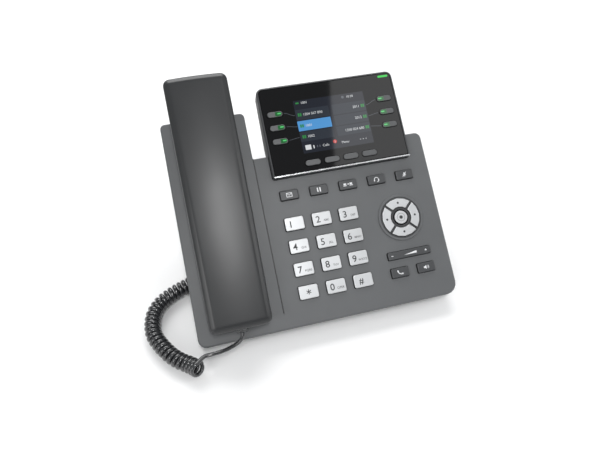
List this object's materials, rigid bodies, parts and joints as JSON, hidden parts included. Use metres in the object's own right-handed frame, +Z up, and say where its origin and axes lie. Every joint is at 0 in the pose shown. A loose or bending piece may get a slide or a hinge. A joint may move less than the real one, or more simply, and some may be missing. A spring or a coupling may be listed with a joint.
{
  "type": "desk IP phone",
  "caption": "Tilted desk IP phone on a clip-on stand, with a raised colour display, dial and function keys, a navigation ring and a corded handset.",
  "frame": {"origin": "on the desk under the middle of the phone, its cord not counted", "axes": "+X to the right of the user, +Y away from the user, +Z up"},
  "size_m": [0.2433, 0.1768, 0.1435],
  "materials": {
    "casing": "fine matte texture",
    "rear_casing": "fine matte texture",
    "handset": "satin",
    "silver_key": "satin silver paint",
    "dark_key": "satin",
    "grey_key": "satin",
    "lens": "high gloss",
    "black_plastic": "satin",
    "rubber": "matte",
    "silicone": "matte",
    "board": "solder resist",
    "cord": "satin",
    "clear_plug": "clear"
  },
  "bodies": {
    "root": {"front_cover": "casing", "rear_cover": "rear_casing", "display_housing": "casing", "display_lens": "lens", "display_panel": "black_plastic", "keypad_mat": "silicone", "keypad_board": "board", "main_board": "board", "loudspeaker": "black_plastic", "stand": "rear_casing", "front_foot": "rubber", "stand_foot": "rubber", "network_jacks": "black_plastic", "handset_jacks": "black_plastic", "power_jack": "black_plastic", "handset_tab": "casing", "base_plug": "clear_plug", "cord_tail_handset": "cord", "cord_coil": "cord", "cord_tail_base": "cord"},
    "handset": {"handset_back": "handset", "handset_face": "handset", "handset_receiver": "black_plastic", "handset_plug": "clear_plug"},
    "hook_switch": {"hook_switch": "black_plastic"},
    "volume_rocker": {"volume_rocker": "dark_key"},
    "nav_up": {"nav_up": "silver_key"},
    "nav_right": {"nav_right": "silver_key"},
    "nav_down": {"nav_down": "silver_key"},
    "nav_left": {"nav_left": "silver_key"},
    "nav_ok": {"nav_ok": "silver_key"},
    "key_1": {"key_1": "silver_key"},
    "key_2": {"key_2": "silver_key"},
    "key_3": {"key_3": "silver_key"},
    "key_4": {"key_4": "silver_key"},
    "key_5": {"key_5": "silver_key"},
    "key_6": {"key_6": "silver_key"},
    "key_7": {"key_7": "silver_key"},
    "key_8": {"key_8": "silver_key"},
    "key_9": {"key_9": "silver_key"},
    "key_star": {"key_star": "silver_key"},
    "key_0": {"key_0": "silver_key"},
    "key_hash": {"key_hash": "silver_key"},
    "key_message": {"key_message": "dark_key"},
    "key_hold": {"key_hold": "dark_key"},
    "key_transfer": {"key_transfer": "dark_key"},
    "key_headset": {"key_headset": "dark_key"},
    "key_mute": {"key_mute": "dark_key"},
    "key_call": {"key_call": "dark_key"},
    "key_speaker": {"key_speaker": "dark_key"},
    "line_key_left_1": {"line_key_left_1": "grey_key"},
    "line_key_left_2": {"line_key_left_2": "grey_key"},
    "line_key_left_3": {"line_key_left_3": "grey_key"},
    "line_key_right_1": {"line_key_right_1": "grey_key"},
    "line_key_right_2": {"line_key_right_2": "grey_key"},
    "line_key_right_3": {"line_key_right_3": "grey_key"},
    "soft_key_1": {"soft_key_1": "grey_key"},
    "soft_key_2": {"soft_key_2": "grey_key"},
    "soft_key_3": {"soft_key_3": "grey_key"},
    "soft_key_4": {"soft_key_4": "grey_key"}
  },
  "joints": [
    {"name": "handset_lift", "type": "slide", "parent": "root", "child": "handset", "axis": [0, -0.5592, 0.829], "range_m": [0, 0.06]},
    {"name": "hook_switch_travel", "type": "slide", "parent": "root", "child": "hook_switch", "axis": [0, -0.5592, 0.829], "range_m": [0, 0.003]},
    {"name": "volume_rock", "type": "hinge", "parent": "root", "child": "volume_rocker", "pos_m": [0.069, -0.04698, 0.03499], "axis": [0, 0.829, 0.5592], "range_deg": [-2, 2], "stiffness_Nm_per_rad": 0.5},
    {"name": "nav_up_press", "type": "slide", "parent": "root", "child": "nav_up", "axis": [0, 0.5592, -0.829], "range_m": [0, 0.0008], "stiffness_N_per_m": 300, "springref_m": -0.0005},
    {"name": "nav_right_press", "type": "slide", "parent": "root", "child": "nav_right", "axis": [0, 0.5592, -0.829], "range_m": [0, 0.0008], "stiffness_N_per_m": 300, "springref_m": -0.0005},
    {"name": "nav_down_press", "type": "slide", "parent": "root", "child": "nav_down", "axis": [0, 0.5592, -0.829], "range_m": [0, 0.0008], "stiffness_N_per_m": 300, "springref_m": -0.0005},
    {"name": "nav_left_press", "type": "slide", "parent": "root", "child": "nav_left", "axis": [0, 0.5592, -0.829], "range_m": [0, 0.0008], "stiffness_N_per_m": 300, "springref_m": -0.0005},
    {"name": "nav_ok_press", "type": "slide", "parent": "root", "child": "nav_ok", "axis": [0, 0.5592, -0.829], "range_m": [0, 0.0008], "stiffness_N_per_m": 300, "springref_m": -0.0005},
    {"name": "key_1_press", "type": "slide", "parent": "root", "child": "key_1", "axis": [0, 0.5592, -0.829], "range_m": [0, 0.001], "stiffness_N_per_m": 300, "springref_m": -0.0005},
    {"name": "key_2_press", "type": "slide", "parent": "root", "child": "key_2", "axis": [0, 0.5592, -0.829], "range_m": [0, 0.001], "stiffness_N_per_m": 300, "springref_m": -0.0005},
    {"name": "key_3_press", "type": "slide", "parent": "root", "child": "key_3", "axis": [0, 0.5592, -0.829], "range_m": [0, 0.001], "stiffness_N_per_m": 300, "springref_m": -0.0005},
    {"name": "key_4_press", "type": "slide", "parent": "root", "child": "key_4", "axis": [0, 0.5592, -0.829], "range_m": [0, 0.001], "stiffness_N_per_m": 300, "springref_m": -0.0005},
    {"name": "key_5_press", "type": "slide", "parent": "root", "child": "key_5", "axis": [0, 0.5592, -0.829], "range_m": [0, 0.001], "stiffness_N_per_m": 300, "springref_m": -0.0005},
    {"name": "key_6_press", "type": "slide", "parent": "root", "child": "key_6", "axis": [0, 0.5592, -0.829], "range_m": [0, 0.001], "stiffness_N_per_m": 300, "springref_m": -0.0005},
    {"name": "key_7_press", "type": "slide", "parent": "root", "child": "key_7", "axis": [0, 0.5592, -0.829], "range_m": [0, 0.001], "stiffness_N_per_m": 300, "springref_m": -0.0005},
    {"name": "key_8_press", "type": "slide", "parent": "root", "child": "key_8", "axis": [0, 0.5592, -0.829], "range_m": [0, 0.001], "stiffness_N_per_m": 300, "springref_m": -0.0005},
    {"name": "key_9_press", "type": "slide", "parent": "root", "child": "key_9", "axis": [0, 0.5592, -0.829], "range_m": [0, 0.001], "stiffness_N_per_m": 300, "springref_m": -0.0005},
    {"name": "key_star_press", "type": "slide", "parent": "root", "child": "key_star", "axis": [0, 0.5592, -0.829], "range_m": [0, 0.001], "stiffness_N_per_m": 300, "springref_m": -0.0005},
    {"name": "key_0_press", "type": "slide", "parent": "root", "child": "key_0", "axis": [0, 0.5592, -0.829], "range_m": [0, 0.001], "stiffness_N_per_m": 300, "springref_m": -0.0005},
    {"name": "key_hash_press", "type": "slide", "parent": "root", "child": "key_hash", "axis": [0, 0.5592, -0.829], "range_m": [0, 0.001], "stiffness_N_per_m": 300, "springref_m": -0.0005},
    {"name": "key_message_press", "type": "slide", "parent": "root", "child": "key_message", "axis": [0, 0.5592, -0.829], "range_m": [0, 0.001], "stiffness_N_per_m": 300, "springref_m": -0.0005},
    {"name": "key_hold_press", "type": "slide", "parent": "root", "child": "key_hold", "axis": [0, 0.5592, -0.829], "range_m": [0, 0.001], "stiffness_N_per_m": 300, "springref_m": -0.0005},
    {"name": "key_transfer_press", "type": "slide", "parent": "root", "child": "key_transfer", "axis": [0, 0.5592, -0.829], "range_m": [0, 0.001], "stiffness_N_per_m": 300, "springref_m": -0.0005},
    {"name": "key_headset_press", "type": "slide", "parent": "root", "child": "key_headset", "axis": [0, 0.5592, -0.829], "range_m": [0, 0.001], "stiffness_N_per_m": 300, "springref_m": -0.0005},
    {"name": "key_mute_press", "type": "slide", "parent": "root", "child": "key_mute", "axis": [0, 0.5592, -0.829], "range_m": [0, 0.001], "stiffness_N_per_m": 300, "springref_m": -0.0005},
    {"name": "key_call_press", "type": "slide", "parent": "root", "child": "key_call", "axis": [0, 0.5592, -0.829], "range_m": [0, 0.001], "stiffness_N_per_m": 300, "springref_m": -0.0005},
    {"name": "key_speaker_press", "type": "slide", "parent": "root", "child": "key_speaker", "axis": [0, 0.5592, -0.829], "range_m": [0, 0.001], "stiffness_N_per_m": 300, "springref_m": -0.0005},
    {"name": "line_key_left_1_press", "type": "slide", "parent": "root", "child": "line_key_left_1", "axis": [0, 0.5592, -0.829], "range_m": [0, 0.0006], "stiffness_N_per_m": 300, "springref_m": -0.0005},
    {"name": "line_key_left_2_press", "type": "slide", "parent": "root", "child": "line_key_left_2", "axis": [0, 0.5592, -0.829], "range_m": [0, 0.0006], "stiffness_N_per_m": 300, "springref_m": -0.0005},
    {"name": "line_key_left_3_press", "type": "slide", "parent": "root", "child": "line_key_left_3", "axis": [0, 0.5592, -0.829], "range_m": [0, 0.0006], "stiffness_N_per_m": 300, "springref_m": -0.0005},
    {"name": "line_key_right_1_press", "type": "slide", "parent": "root", "child": "line_key_right_1", "axis": [0, 0.5592, -0.829], "range_m": [0, 0.0006], "stiffness_N_per_m": 300, "springref_m": -0.0005},
    {"name": "line_key_right_2_press", "type": "slide", "parent": "root", "child": "line_key_right_2", "axis": [0, 0.5592, -0.829], "range_m": [0, 0.0006], "stiffness_N_per_m": 300, "springref_m": -0.0005},
    {"name": "line_key_right_3_press", "type": "slide", "parent": "root", "child": "line_key_right_3", "axis": [0, 0.5592, -0.829], "range_m": [0, 0.0006], "stiffness_N_per_m": 300, "springref_m": -0.0005},
    {"name": "soft_key_1_press", "type": "slide", "parent": "root", "child": "soft_key_1", "axis": [0, 0.5592, -0.829], "range_m": [0, 0.0006], "stiffness_N_per_m": 300, "springref_m": -0.0005},
    {"name": "soft_key_2_press", "type": "slide", "parent": "root", "child": "soft_key_2", "axis": [0, 0.5592, -0.829], "range_m": [0, 0.0006], "stiffness_N_per_m": 300, "springref_m": -0.0005},
    {"name": "soft_key_3_press", "type": "slide", "parent": "root", "child": "soft_key_3", "axis": [0, 0.5592, -0.829], "range_m": [0, 0.0006], "stiffness_N_per_m": 300, "springref_m": -0.0005},
    {"name": "soft_key_4_press", "type": "slide", "parent": "root", "child": "soft_key_4", "axis": [0, 0.5592, -0.829], "range_m": [0, 0.0006], "stiffness_N_per_m": 300, "springref_m": -0.0005}
  ],
  "couplings": [
    {"joint": "hook_switch_travel", "follows": "handset_lift", "ratio": 0.05}
  ]
}
